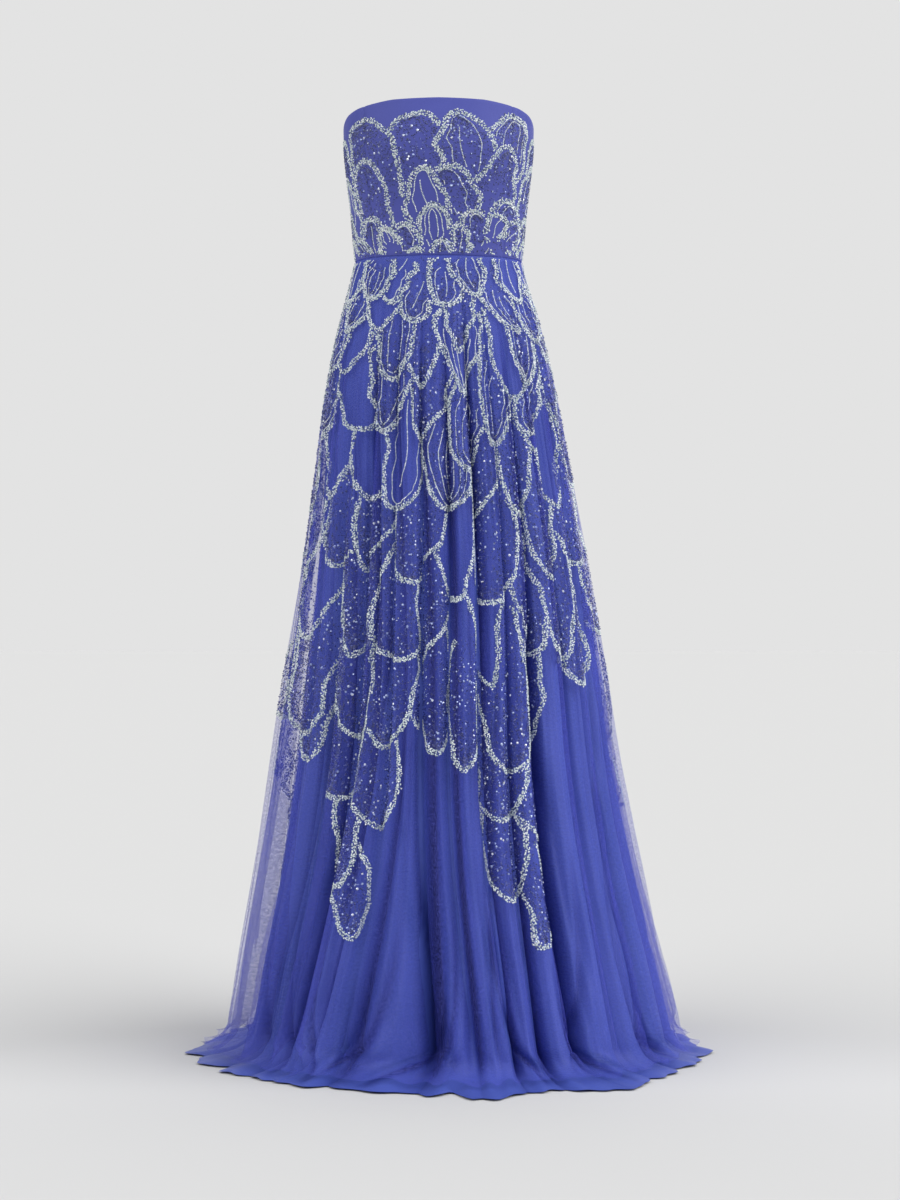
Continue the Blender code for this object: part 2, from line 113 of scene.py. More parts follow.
# How far the lining's hem reaches past its last section, over the floor: angle in degrees, and mm
HEM_REACH = (
    (-180, -6), (-166, 16), (-152, -10), (-140, 12), (-128, -12), (-113, 8),
    (-103, -9), (-90, 14), (-69, 6), (-57, 4), (-43, -4), (-33, 3),
    (-23, -2), (-12, 0), (-5, 22), (0, -12), (4, 42), (9, 36),
    (15, 12), (22, 2), (30, 24), (36, 46), (46, 12), (60, 4),
    (73, 0), (87, 11), (101, -8), (112, 12), (124, -12), (137, 6),
    (149, 18), (161, -8), (172, 10), (180, -6),
)
OVERLAY_REACH_SHARE = 0.35
# The skirt's folds, as valleys between soft ridges, in order round the body.
# Angle in degrees at thigh, knee, ankle and floor, then depth in mm at the same four heights
FOLDS = (
    (-171, -171, -172, -172, 6, 12, 15, 8), (-157, -155, -158, -157, 10, 20, 26, 9),
    (-141, -143, -140, -141, 12, 25, 30, 9), (-127, -125, -128, -127, 9, 17, 21, 7),
    (-111, -112, -110, -111, 12, 24, 30, 9), (-96, -94, -97, -96, 7, 15, 19, 7),
    (-81, -78, -81, -80, 7, 15, 21, 7), (-65, -59, -66, -64, 10, 23, 29, 9),
    (-49, -44, -53, -51, 12, 20, 24, 8), (-34, -32, -42, -40, 11, 19, 22, 7),
    (-22, -20, -31, -29, 15, 30, 36, 10), (-10, -9, -6, -7, 26, 38, 38, 11),
    (3, 1, 5, 6, 14, 21, 29, 9), (14, 11, 14, 16, 20, 34, 37, 10),
    (25, 21, 22, 25, 11, 19, 25, 8), (37, 32, 32, 36, 13, 28, 34, 10),
    (50, 46, 45, 48, 10, 18, 22, 7), (64, 60, 60, 62, 9, 17, 21, 7),
    (79, 76, 76, 77, 7, 14, 18, 7), (95, 93, 95, 94, 8, 17, 22, 8),
    (110, 111, 108, 110, 11, 23, 28, 9), (125, 124, 127, 126, 8, 15, 19, 7),
    (140, 142, 139, 140, 12, 24, 30, 9), (156, 154, 157, 156, 10, 19, 25, 8),
    (171, 171, 172, 172, 6, 12, 15, 8),
)
FOLD_STATIONS = (2, 5, 8, 11, 14)
HIP_SHARE = 0.10
CREASE_WIDTHS = (0.07, 0.31)
HEM_CREASE_WIDER = 0.07
# How the folds' lean and depth shift: per fold, per row, and at the start
LEAN_SHIFT = (2.4, 0.15, 0.0)
DEPTH_SHIFT = (1.9, 0.42, 1.2)
# The diagonal creases: depth against the table, steep side, ridge beside them, bend, and ends
CREASES_DEEPER = 1.3
CREASE_STEEPER = 1.3
CREASE_RIDGE_SHARE = 0.6
CREASE_RIDGE_AT = 1.69
CREASE_RIDGE_WIDTH = 1.3
CREASE_BEND = 0.12
CREASE_END_POWER = 0.7
# Diagonal creases: fold number and row at the start and the end, depth in mm, and width in folds
CREASES = (
    (13.6, 6.0, 12.4, 11.4, 5.0, 0.13), (12.6, 9.0, 13.7, 13.6, 9.0, 0.14),
    (14.5, 5.0, 15.3, 9.6, 4.5, 0.12), (15.6, 8.6, 14.6, 12.8, 5.5, 0.14),
    (10.5, 7.2, 11.4, 12.6, 5.0, 0.13), (9.6, 5.4, 8.7, 10.2, 6.5, 0.14),
    (8.4, 9.2, 9.4, 13.8, 8.5, 0.16), (10.4, 9.4, 9.5, 13.9, 8.0, 0.14),
    (14.6, 9.8, 15.5, 13.9, 8.5, 0.14), (7.4, 8.6, 8.4, 13.7, 8.0, 0.14),
    (16.5, 9.4, 17.4, 13.6, 8.5, 0.14), (17.5, 6.2, 16.6, 10.4, 4.0, 0.13),
    (7.5, 6.8, 6.6, 12.2, 5.0, 0.15), (18.4, 8.0, 19.3, 13.0, 5.5, 0.15),
    (6.4, 9.6, 7.3, 13.6, 5.5, 0.15), (11.6, 9.2, 10.4, 13.8, 9.0, 0.13),
    (12.4, 5.2, 12.6, 8.6, 4.0, 0.1), (20.5, 6.4, 19.7, 11.6, 5.0, 0.15),
    (21.4, 9.0, 22.3, 13.4, 6.0, 0.15), (23.5, 6.0, 22.7, 11.0, 5.0, 0.15),
    (4.5, 8.4, 3.7, 13.0, 5.5, 0.15), (2.5, 5.8, 3.3, 11.0, 5.0, 0.15),
    (1.4, 9.2, 0.6, 13.4, 5.5, 0.15), (5.4, 5.6, 5.2, 9.6, 4.0, 0.12),
)
HEM_LIFT = 0.005
# Skirt panels: name, and the numbers of the valleys just before the first and the last seam
SKIRT_PANELS = (("front", 5, 18), ("back_left", 18, 24), ("back_right", -1, 5))
LAST_ROW = len(OVERLAY_SECTIONS) - 1

# Fine form of the cloth
FOLD_DEEPER = 1.5
DEEPER_BY_FOLD = 0.45
COLUMNS_TO_VALLEY = 0.07
# Painted shade: the fold and crease depths at which the cloth's colour is darkest, the most crease shade,
# and the shade added towards the hem
DARKEST_FOLD = 0.033
DARKEST_CREASE = 0.0085
CREASE_SHADE = 0.85
HEM_SHADE = 0.20
BODICE_DEG_PER_COLUMN = 3.0
BODICE_ROWS = 44
BODICE_SHARP_FROM_DEG = 50
# Extra columns beside a seam, and rows beside a rim as shares of the height
BESIDE_SEAM = np.array([0.0, 0.35])
BESIDE_RIM = (0, 0.006, 0.02, 0.98, 0.992, 1.0)
RIPPLE = {"overlay": 0.0024, "lining": 0.0026}
RIPPLE_SEED = {"overlay": 7, "lining": 3}
RIPPLE_FROM_ROW, RIPPLE_FULL_AFTER = 0.8, 3
# Fewest and most waves round the skirt, and how far they drift
RIPPLE_WAVES = (40, 130, 0.8)
HEM_OUT_WAVES = (22, 66, 0.2)
HEM_UP_WAVES = (25, 70, 0.2)
WAVES_MIXED = 6
LEAST_ABOVE_FLOOR = 0.0012
HEM_RIPPLE_OUT = 0.0065
HEM_RIPPLE_UP = 0.0065
HEM_FOLDS_DEEPER = 1.9
HEM_EDGE_ROWS = 0.8
HEM_EDGE_SETTLES = 0.80
SEAM_DIP = 0.0013
SEAM_DIP_WIDTH = 0.0018
RIM_DIP = 0.0005
RIM_DIP_WIDTH = 0.0012
WAIST_ROLL = 0.0008
WAIST_ROLL_ROWS = 0.22
LINING_TUCK_UP = 0.0032
LINING_TUCK_IN = 0.0016
TUCK_ROWS = 0.15
WAIST_SQUARE_ROWS = 1.5

# Leaf rows on the skirt: how far below the waist the tips lie, then length and width
SKIRT_LEAF_ROWS = (
    (0.06, 0.088, 0.058), (0.122, 0.112, 0.066), (0.195, 0.138, 0.08),
    (0.28, 0.165, 0.096), (0.375, 0.195, 0.112), (0.485, 0.22, 0.126),
    (0.605, 0.24, 0.136), (0.73, 0.25, 0.142), (0.855, 0.25, 0.144),
    (0.955, 0.235, 0.136),
)
# Leaf rows on the bodice: how far above the waist the tips lie, then length and width
BODICE_LEAF_ROWS = (
    (0.034, 0.046, 0.042), (0.066, 0.082, 0.062), (0.136, 0.112, 0.076), (0.212, 0.13, 0.092),
)
# Where the rows of leaves end on the skirt: angle in degrees, and metres below the waist
LEAF_LIMIT = (
    (-180, 0.68), (-160, 0.78), (-142, 0.66), (-120, 0.8), (-98, 0.66), (-78, 0.7),
    (-58, 0.72), (-42, 0.82), (-28, 0.76), (-14, 0.58), (0, 0.68), (12, 0.6),
    (24, 0.8), (38, 0.8), (52, 0.68), (70, 0.64), (90, 0.62), (112, 0.76),
    (134, 0.66), (156, 0.8), (180, 0.68),
)
# Single leaves, the top one first: the tip's angle and depth, length, width, lean in degrees, tip power
LOW_LEAVES = (
    (-47, 0.8, 0.21, 0.125, -9, 0.3), (-31, 0.845, 0.22, 0.12, 6, 0.42),
    (27, 0.83, 0.22, 0.125, 8, 0.26), (15, 0.76, 0.2, 0.105, -4, 0.55),
    (39, 0.865, 0.22, 0.12, 16, 0.38), (-3, 0.735, 0.2, 0.115, 3, 0.5),
    (-40, 0.925, 0.2, 0.105, -3, 0.34), (29, 0.94, 0.19, 0.11, 5, 0.3),
    (-18, 0.7, 0.17, 0.085, 5, 0.6), (51, 0.72, 0.17, 0.095, 12, 0.45),
    (-66, 0.745, 0.19, 0.105, -12, 0.4), (-35, 1.0, 0.15, 0.08, 5, 0.55),
    (36, 1.01, 0.16, 0.085, 8, 0.5), (72, 0.64, 0.16, 0.09, 9, 0.45),
    (-88, 0.69, 0.18, 0.105, -9, 0.35), (-121, 0.86, 0.21, 0.12, -6, 0.3),
    (-110, 0.79, 0.19, 0.11, 6, 0.5), (-158, 0.84, 0.2, 0.12, 7, 0.35),
    (-148, 0.75, 0.18, 0.105, 9, 0.5), (113, 0.83, 0.21, 0.12, 8, 0.3),
    (101, 0.74, 0.18, 0.105, -5, 0.45), (155, 0.87, 0.21, 0.12, -6, 0.4),
    (166, 0.79, 0.18, 0.105, -4, 0.5), (-118, 0.955, 0.17, 0.09, 3, 0.5),
    (-156, 0.93, 0.16, 0.085, -5, 0.45), (116, 0.92, 0.16, 0.09, 6, 0.5),
    (152, 0.955, 0.16, 0.085, 4, 0.45),
)
LEAF_TIP_POWERS = (0.24, 0.72)
LEAF_BASE_POWER = 0.34
LEAF_EDGE_KNOTS = 7
LEAF_EDGE_JITTER = 0.20
LEAF_LEAN = math.radians(13)
FAN_FROM_DEG = 18
BODICE_FAN = math.radians(42)
SKIRT_FAN = math.radians(30)
LEAF_BEND = 0.14
ROW_WAVES = ((2, 0.022), (3, 0.014), (7, 0.012))
LEAF_SPACING = 0.90
LEAF_ASIDE = 0.24
LEAF_WIDEST = 0.4
FAN_SETTLES = 0.5
# How far a leaning leaf's base moves over, as a share of its length
ROW_LEAF_SHIFT, SINGLE_LEAF_SHIFT = 0.45, 0.8
LEAVES_APART = 1.6
LENGTH_SPREAD = 0.14
WIDTH_SPREAD = 0.15
TIP_SPREAD = 0.014
PAST_LIMIT = 0.02
WAVES_FULL_FROM = 0.2
BODICE_WAVE_SHARE = 0.4
BODICE_TIP_CLEAR = (0.002, 0.010)
NECKLINE_MARGIN = 0.009
# How close beads come to the centre back in degrees, and to the waist in metres
BODICE_OFF_ZIP, SKIRT_OFF_ZIP = 3.2, 2.0
BODICE_OFF_WAIST, SKIRT_OFF_WAIST = 0.003, 0.004
SKIRT_BEADS_END = 1.12
OUTLINE_STEP = 0.0013
BAND_STEP = 0.0025
BAND_OFFSETS = (-0.0029, -0.0009, 0.0011, 0.0031)
BAND_SCATTER = 0.0008
BAND_INSET = 0.001
BEAD_RIM_HEIGHT = 0.15
LINE_STEP = 0.0022
BODICE_FILL_PER_M2 = 64000
SKIRT_FILL_PER_M2 = 42000
CRYSTALS_PER_M2 = 3600
FILLED_AREA_SHARE = 0.75
FILL_INSET = 0.009
FILL_OFF_TIP = 0.008
UNFILLED_SHARE = 0.30
# How far each kind of bead stays clear of a leaf that lies on top
CLEAR_OF_UPPER = {"band": 0.0015, "line": 0.003, "fill": 0.002, "crystal": 0.004}
# Where a leaf's outline is taken, closer together near its tip
OUTLINE_SHARES = 1 - (1 - np.linspace(0.03, 1, 200)) ** 1.8
MIDDLE_LINE_SHARES = np.linspace(0.10, 0.80, 60)
MIDDLE_LINE_SWING = 0.06
LINE_LENGTH_KEPT = 0.35
# How the fill crowds towards the tip and the edges, and where crystals lie
FILL_TO_TIP, FILL_TO_EDGE = 0.60, 0.8
CRYSTALS_ALONG, CRYSTALS_ACROSS = (0.2, 0.92), 0.75
# Thin lines: the sizes of the outline's inner copies, and the styles that also have a middle line
LINE_STYLES = ((0.60,), (0.70, 0.46, 0.22), (0.50,), (0.66, 0.36))
MIDDLE_LINE_STYLES = (0, 2)
# How likely each row's leaves are to have thin lines, with the single leaves last
BODICE_LINE_CHANCES = (1.0, 1.0, 0.75, 0.15)
SKIRT_LINE_CHANCES = (1.0, 0.8, 0.6, 0.4, 0.2, 0, 0, 0, 0, 0, 0)
# Steps of the unrolled cloth
AROUND_STEPS = 1500
SHARE_STEPS = 2000


def along_rows(table, t):
    """Each column of a table at the row numbers t, on a smooth curve through the rows."""
    rows = np.asarray(table, float)
    last = len(rows) - 1
    start = np.clip(np.floor(t).astype(int), 0, last - 1)
    f = (t - start)[..., None]
    before, here, there, after = (rows[np.clip(start + k, 0, last)] for k in (-1, 0, 1, 2))
    rise, fall = (there - before) / 2, (after - here) / 2
    curve = 2 * (here - there) + rise + fall
    return here + f * (rise + f * (3 * (there - here) - 2 * rise - fall + f * curve))


def section_point(angle, half_width, front, back, power):
    """A point of a body section with its own front and back depth, at angles in radians."""
    s, c = np.sin(angle), np.cos(angle)
    depth = np.where(c > 0, front, back)
    scale = (np.abs(s) ** power + np.abs(c) ** power) ** (-1 / power)
    return half_width * s * scale, -depth * c * scale


def read_table(table, angle_deg):
    return np.interp(angle_deg, *np.asarray(table, float).T)


def neckline_height(angle_deg):
    return read_table(NECKLINE, np.abs(angle_deg))


def bodice_at_height(angle_deg, height):
    """A point on the bodice's outer face at a height above the waist."""
    rows = np.asarray(BODICE_SECTIONS)
    where = np.interp(height, rows[:, 0], np.arange(len(rows)))
    half_width, front, back = (along_rows(rows[:, [k]], where)[..., 0] for k in (1, 2, 3))
    x, y = section_point(np.radians(angle_deg), half_width, front, back, SQUARENESS)
    off_cup = (np.abs(angle_deg) - CUP_ANGLE) / CUP_SPREAD_DEG
    cup = CUP_FULLNESS * np.exp(-(off_cup**2) - ((height - CUP_HEIGHT) / CUP_SPREAD) ** 2)
    return np.stack([x, y - cup, height + 0 * x], axis=-1)


def bodice_point(angle_deg, share):
    """A point on the bodice's outer face: share is 0 at the waist and 1 at the neckline."""
    top = neckline_height(angle_deg)
    return bodice_at_height(angle_deg, CLEAR + share * (top - CLEAR))


def towards_hem(t):
    """0 down to the ankle's row, then rising to 1 at the last row."""
    return np.clip((t - FOLD_STATIONS[-2]) / (LAST_ROW - FOLD_STATIONS[-2]), 0, 1)


def fold_rows(t):
    """The folds' angles in radians and depths in metres at the row numbers t."""
    table = np.asarray(FOLDS, float)
    angles = np.column_stack([table[:, 0], table[:, :4]])
    depths = np.column_stack([HIP_SHARE * table[:, 4], table[:, 4:]])
    first, last = FOLD_STATIONS[0], FOLD_STATIONS[-1]
    station = (np.clip(t, first, last) - first) / (FOLD_STATIONS[1] - first)
    fade = np.clip(t / first, 0, 1)[..., None]
    return np.radians(along_rows(angles.T, station)), MM * fade * along_rows(depths.T, station)


def valley_slope(phase, width):
    """The depth beside a valley as a share, at a distance from its line."""
    return np.exp(-phase / width) * (1 - phase) ** 2


def shifted(number, t, shift):
    """A wave that gives each fold its own value, -1 to 1, and drifts along it."""
    per_fold, per_row, start = shift
    return np.sin(per_fold * number + per_row * t + start)


def fold_at(u, t):
    """The angle, depth and height above the valleys at fold number u, whose whole numbers are valleys."""
    valley = np.floor(u).astype(int)
    phase = u - valley
    angles, depths = fold_rows(t)
    narrow, wide = CREASE_WIDTHS
    wider = HEM_CREASE_WIDER * towards_hem(t)
    angle, depth, left = 0.0, 0.0, 1.0
    for step, away in ((0, phase), (1, 1 - phase)):
        turns, number = np.divmod(valley + step, len(FOLDS))
        valley_angle = np.take_along_axis(angles, number[..., None], axis=-1)[..., 0] + TURN * turns
        valley_depth = np.take_along_axis(depths, number[..., None], axis=-1)[..., 0]
        spread = (wide - narrow) * (1 + shifted(number, t, LEAN_SHIFT)) / 2
        slope = valley_slope(away, (wide - spread if step else narrow + spread) + wider)
        depth = depth + valley_depth * slope * (1 + DEEPER_BY_FOLD * shifted(number, t, DEPTH_SHIFT))
        angle = angle + valley_angle * (1 - away)
        left = left - slope
    return angle, depth, np.clip(left, 0, 1)


def small_creases(u, t):
    """How far the diagonal creases move the cloth: a trough, one side steep, and a ridge."""
    out = 0 * u
    for u0, t0, u1, t1, depth, width in CREASES:
        s = np.clip((t - t0) / (t1 - t0), 0, 1)
        off = (u - (u0 + (u1 - u0) * (s - CREASE_BEND * np.sin(TURN * s)))) / width
        off = off * (1 + CREASE_STEEPER * np.clip(-4 * off, 0, 1))
        size = MM * CREASES_DEEPER * depth * (4 * s * (1 - s)) ** CREASE_END_POWER
        ridge = np.exp(-(((off - CREASE_RIDGE_AT) / CREASE_RIDGE_WIDTH) ** 2))
        out = out - size * (np.exp(-(off**2)) - CREASE_RIDGE_SHARE * ridge)
    return out


def wander(u, t, fewest, most, drift, seed):
    """A smooth uneven wave round the skirt, about -1 to 1, whose crests drift as they run down."""
    draw = np.random.RandomState(seed)
    total = 0
    for turns in draw.randint(fewest, most, WAVES_MIXED):
        start, swing, rate = draw.rand(3)
        shift = start + drift * swing * np.sin(0.3 * t + rate)
        total = total + np.sin(TURN * (turns * u / len(FOLDS) + shift))
    return 2 * total / WAVES_MIXED


def skirt_point(layer, u, t):
    """A point on the overlay or the lining, at fold number u and row number t."""
    u, t = np.broadcast_arrays(np.asarray(u, float), np.asarray(t, float))
    rows = along_rows(OVERLAY_SECTIONS, t)
    height, half_width, front, back, sway = np.moveaxis(rows, -1, 0)
    angle, depth, ridge = fold_at(u, t)
    if layer == "lining":
        height, inset, own_sway = np.moveaxis(along_rows(LINING_SECTIONS, t), -1, 0)
        tuck = np.clip(1 - t / TUCK_ROWS, 0, 1)
        inset = inset + LINING_TUCK_IN * tuck
        height = height + LINING_TUCK_UP * tuck
        half_width, front, back = half_width - inset, front - inset, back - inset
        sway = sway + own_sway
        depth = depth * LINING_FOLD_SHARE
    hem = towards_hem(t) ** 2
    depth = depth * (FOLD_DEEPER + (HEM_FOLDS_DEEPER - FOLD_DEEPER) * hem)
    turned = (np.degrees(angle) + 180) % 360 - 180
    share = 1 if layer == "lining" else OVERLAY_REACH_SHARE
    out = MM * share * hem**2 * read_table(HEM_REACH, turned) - depth
    seed = RIPPLE_SEED[layer]
    soft = np.clip((t - RIPPLE_FROM_ROW) / RIPPLE_FULL_AFTER, 0, 1) * (1 - hem)
    out = out + RIPPLE[layer] * soft * wander(u, t, *RIPPLE_WAVES, seed)
    out = out + small_creases(u, t)
    out = out + WAIST_ROLL * (layer == "overlay") * np.exp(-((t / WAIST_ROLL_ROWS - 1) ** 2))
    out = out + HEM_RIPPLE_OUT * hem**2 * wander(u, t, *HEM_OUT_WAVES, seed + 1)
    edge = np.clip((t - LAST_ROW + HEM_EDGE_ROWS) / HEM_EDGE_ROWS, 0, 1)
    settled = 1 - HEM_EDGE_SETTLES * (layer == "lining") * edge
    rise = settled * HEM_RIPPLE_UP * hem * (1 + wander(u, t, *HEM_UP_WAVES, seed + 2)) / 2
    power = 2 + (SQUARENESS - 2) * np.clip(1 - t / WAIST_SQUARE_ROWS, 0, 1)
    x, y = section_point(angle, half_width + out, front + out, back + out, power)
    above_floor = np.maximum(height + settled * HEM_LIFT * hem * ridge + rise, LEAST_ABOVE_FLOOR)
    return np.stack([x + sway, y, above_floor - WAIST_ABOVE_FLOOR], axis=-1)


def unit(vectors):
    return vectors / np.linalg.norm(vectors, axis=-1, keepdims=True)


def distances(points, axis):
    """The mean distance along a grid of points, from its first line to each line."""
    steps = np.linalg.norm(np.diff(points, axis=axis), axis=-1).mean(axis=1 - axis)
    return np.concatenate([[0], np.cumsum(steps)])


def normals_of(point_at, a, b, step=1e-3):
    """Unit normals of a surface given by point_at(a, b), pointing out of the body."""
    across = point_at(a + step, b) - point_at(a - step, b)
    down = point_at(a, b + step) - point_at(a, b - step)
    normal = unit(np.cross(across, down))
    outward = np.sign((normal * point_at(a, b))[..., :2].sum(axis=-1).mean())
    return normal * outward


def mesh_object(name, points, faces, smooth=True):
    """A mesh object from arrays of points and faces."""
    mesh = bpy.data.meshes.new(name)
    corners = faces.shape[1]
    mesh.vertices.add(len(points))
    mesh.vertices.foreach_set("co", np.asarray(points, np.float32).ravel())
    mesh.loops.add(faces.size)
    mesh.loops.foreach_set("vertex_index", faces.astype(np.int32).ravel())
    mesh.polygons.add(len(faces))
    mesh.polygons.foreach_set("loop_start", np.arange(0, faces.size, corners, dtype=np.int32))
    mesh.polygons.foreach_set("use_smooth", np.full(len(faces), smooth))
    mesh.update(calc_edges=True)
    mesh.validate()
    obj = bpy.data.objects.new(name, mesh)
    bpy.context.scene.collection.objects.link(obj)
    return obj


def grid_faces(rows, columns, first=0):
    """Quads over a grid of points that are stored row by row."""
    r, c = np.meshgrid(np.arange(rows - 1), np.arange(columns - 1), indexing="ij")
    corner = first + (r * columns + c).ravel()
    return np.stack([corner, corner + 1, corner + columns + 1, corner + columns], axis=1)


def wall_faces(rows, columns):
    """Quads of a closed wall between two grids, the outer one first."""
    count = rows * columns
    outer = grid_faces(rows, columns)
    inner = grid_faces(rows, columns, count)[:, ::-1]
    rim = list(range(columns))
    rim += [r * columns + columns - 1 for r in range(1, rows)]
    rim += [(rows - 1) * columns + c for c in range(columns - 2, -1, -1)]
    rim += [r * columns for r in range(rows - 2, 0, -1)]
    here = np.array(rim)
    after = np.roll(here, -1)
    edge = np.stack([here, here + count, after + count, after], axis=1)
    return np.concatenate([outer, inner, edge])


def set_uv(obj, across, down):
    """A UV map in metres of cloth, for weaves."""
    layer = obj.data.uv_layers.new(name="cloth")
    corner = np.empty(len(obj.data.loops), np.int32)
    obj.data.loops.foreach_get("vertex_index", corner)
    uv = np.stack([across.ravel()[corner], down.ravel()[corner]], axis=1)
    layer.data.foreach_set("uv", uv.astype(np.float32).ravel())


def set_values(obj, name, values):
    """A number for each point of a mesh, for its material to read."""
    attribute = obj.data.attributes.new(name, "FLOAT", "POINT")
    attribute.data.foreach_set("value", values.astype(np.float32).ravel())


def edge_shift(points, first_gap, last_gap):
    """The points with the first and last column moved in along the cloth by each row's gap."""
    moved = points.copy()
    for end, inner, gap in ((0, 1, first_gap), (-1, -2, last_gap)):
        moved[:, end] += unit(points[:, inner] - points[:, end]) * gap[:, None]
    return moved


def dressed(obj, finish, slot, *nodes):
    """The piece with its material, riding on the gown in place of its solids."""
    obj.data.materials.append(finish)
    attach(obj, BODY)
    if nodes:
        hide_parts(*nodes)
    return obj


def bodice_panel(name, first, last, finish):
    columns = int(round((last - first) / BODICE_DEG_PER_COLUMN)) + 1
    angles = np.linspace(first, last, columns)
    beside = BESIDE_SEAM * (angles[1] - angles[0])
    angles = np.concatenate([first + beside, angles[1:-1], last - beside[::-1]])
    shares = np.linspace(*BESIDE_RIM[2:4], BODICE_ROWS - 4)
    shares = np.concatenate([BESIDE_RIM[:2], shares, BESIDE_RIM[4:]])
    a, b = np.meshgrid(angles, shares)
    outer = bodice_point(a, b)
    normal = normals_of(bodice_point, a, b)
    inner = outer - BODICE_WALL * normal
    inner[..., 2] = outer[..., 2]
    cloth = np.linalg.norm(outer - outer[:, :1], axis=-1)
    to_end = np.linalg.norm(outer - outer[:, -1:], axis=-1)
    dip = SEAM_DIP * np.exp(-((np.minimum(cloth, to_end) / SEAM_DIP_WIDTH) ** 2))
    to_rim = np.minimum(b, 1 - b) * BODICE_HEIGHT
    dip = dip + RIM_DIP * np.exp(-((to_rim / RIM_DIP_WIDTH) ** 2))
    outer = outer - dip[..., None] * normal
    gaps = [np.full(len(shares), ZIP_OPENING * (abs(end) == 180)) for end in (first, last)]
    outer, inner = edge_shift(outer, *gaps), edge_shift(inner, *gaps)
    points = np.concatenate([outer.reshape(-1, 3), inner.reshape(-1, 3)])
    obj = mesh_object(f"{name}_cloth", points, wall_faces(len(shares), len(angles)))
    across = np.radians(a) * BODICE_RADIUS
    set_uv(obj, np.concatenate([across, across]), np.concatenate([outer[..., 2], outer[..., 2]]))
    obj.data.set_sharp_from_angle(angle=math.radians(BODICE_SHARP_FROM_DEG))
    return dressed(obj, finish, "bodice_cloth", name)


def zip_gap(heights):
    """How far a skirt panel stays from the centre back: open beside the zip, shut below it."""
    narrows = OVERLAY_SECTIONS[ZIP_NARROWS_ROW][0] - WAIST_ABOVE_FLOOR
    return np.interp(heights, (-ZIP_BELOW_WAIST, narrows), (0.0, ZIP_OPENING))


def skirt_panel(layer, part, before_first, before_last, per_fold, rows, finish, slot):
    """One fine panel of a skirt layer, as a single sheet between two seams."""
    columns = (before_last - before_first) * per_fold + 1
    u_values = np.linspace(before_first + 0.5, before_last + 0.5, columns)
    u_values = u_values - COLUMNS_TO_VALLEY * np.sin(TURN * u_values)
    t_values = LAST_ROW * np.linspace(0, 1, rows)
    u, t = np.meshgrid(u_values, t_values)
    points = skirt_point(layer, u, t)
    gaps = [zip_gap(points[:, 0, 2]) * (end in (-1, len(FOLDS) - 1)) for end in (before_first, before_last)]
    points = edge_shift(points, *gaps)
    faces = grid_faces(rows, columns)[:, ::-1]
    obj = mesh_object(f"{layer}_{part}_cloth", points.reshape(-1, 3), faces)
    set_uv(obj, *np.meshgrid(distances(points, 1), distances(points, 0)))
    # Painted shade: the point value fold darkens the cloth's colour in deep folds and creases and towards
    # the hem
    _, depth, _ = fold_at(u, t)
    shade = depth / DARKEST_FOLD + np.clip(-small_creases(u, t) / DARKEST_CREASE, 0, CREASE_SHADE)
    set_values(obj, "fold", np.clip(shade + HEM_SHADE * towards_hem(t), 0, 1))
    return dressed(obj, finish, slot, f"{layer}_{part}")


class Field:
    """A band of cloth unrolled: share runs once round it from the centre back, and far runs along it."""

    def __init__(self, point_at, first, last, rows, far=None):
        self.point_at = point_at
        self.rows = rows
        around = np.linspace(first, last, AROUND_STEPS)
        a, b = np.meshgrid(around, rows)
        points = point_at(a, b)
        arc = np.linalg.norm(np.diff(points, axis=1), axis=-1)
        arc = np.concatenate([np.zeros((len(rows), 1)), np.cumsum(arc, axis=1)], axis=1)
        self.girths = arc[:, -1]
        self.far = distances(points, 0) if far is None else far
        shares = np.linspace(0, 1, SHARE_STEPS + 1)
        self.around = np.stack([np.interp(shares * g, s, around) for g, s in zip(self.girths, arc)])

    def girth(self, far):
        return np.interp(far, self.far, self.girths)

    def locate(self, share, far):
        """The surface's own coordinates at a share of the way round and a distance along."""
        r = np.interp(far, self.far, np.arange(len(self.far)))
        low = np.clip(np.floor(r).astype(int), 0, len(self.far) - 2)
        c = (share % 1) * SHARE_STEPS
        left = np.clip(np.floor(c).astype(int), 0, SHARE_STEPS - 1)
        f, g = r - low, c - left
        near = self.around[low, left] * (1 - g) + self.around[low, left + 1] * g
        away = self.around[low + 1, left] * (1 - g) + self.around[low + 1, left + 1] * g
        return near * (1 - f) + away * f, np.interp(r, np.arange(len(self.far)), self.rows)

    def place(self, share, far):
        a, b = self.locate(share, far)
        return self.point_at(a, b), normals_of(self.point_at, a, b)


def leaf_sides(leaf, s):
    """A leaf's half widths along it, left and right, each with its own uneven edge."""
    base, tip = LEAF_BASE_POWER, leaf["tip_power"]
    peak = base / (base + tip)
    top = peak**base * (1 - peak) ** tip
    s = np.clip(s, 0, 1)
    knots = np.linspace(0, 1, LEAF_EDGE_KNOTS)
    uneven = [np.interp(s, knots, edge) for edge in leaf["edges"]]
    return [leaf["width"] / 2 * edge * s**base * (1 - s) ** tip / top for edge in uneven]


def leaf_to_cloth(field, leaf, x, y):
    """Cloth coordinates of points in a leaf's own frame, where y runs from base to tip."""
    length = leaf["length"]
    x = x + leaf["bend"] * length * (y / length) ** 2
    c, s = math.cos(leaf["lean"]), math.sin(leaf["lean"])
    far = leaf["far"] + y * c - x * s
    return leaf["share"] + (x * c + y * s) / field.girth(far), far


def inside_leaf(field, leaf, share, far, margin):
    """Whether points in cloth coordinates lie inside a leaf."""
    across = ((share - leaf["share"] + 0.5) % 1 - 0.5) * field.girth(far)
    down = far - leaf["far"]
    c, s = math.cos(leaf["lean"]), math.sin(leaf["lean"])
    x, y = across * c - down * s, across * s + down * c
    along = y / leaf["length"]
    x = x - leaf["bend"] * leaf["length"] * along**2
    left, right = leaf_sides(leaf, along)
    return (x > -left - margin) & (x < right + margin) & (along > 0) & (along < 1)


